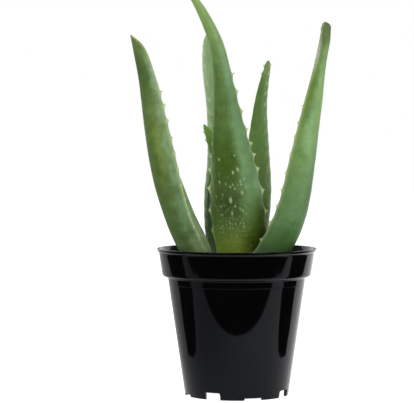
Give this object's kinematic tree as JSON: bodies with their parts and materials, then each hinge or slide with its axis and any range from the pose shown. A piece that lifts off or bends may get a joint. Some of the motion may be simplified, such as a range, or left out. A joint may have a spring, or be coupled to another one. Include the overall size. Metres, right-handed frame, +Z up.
{
  "type": "potted aloe plant",
  "caption": "Small aloe with thick pointed toothed leaves rising from potting mix in a tapered black nursery pot with a collar and a notched foot ring.",
  "frame": {"origin": "on the ground, under the middle of the bounding box; the pot's axis stands 7.4 mm from it along +X", "axes": "+Z up, towards the leaf tips; the side seen in the picture faces -Y"},
  "size_m": [0.1866, 0.1524, 0.387],
  "materials": {
    "pot": "gloss",
    "soil": "matte",
    "stem": "matte",
    "leaf": "satin"
  },
  "bodies": {
    "root": {"pot": "pot", "soil": "soil", "stem": "stem", "leaf_front": "leaf", "leaf_left": "leaf", "leaf_right": "leaf", "leaf_back_left": "leaf", "leaf_back_right": "leaf", "leaf_inner": "leaf"}
  },
  "joints": []
}
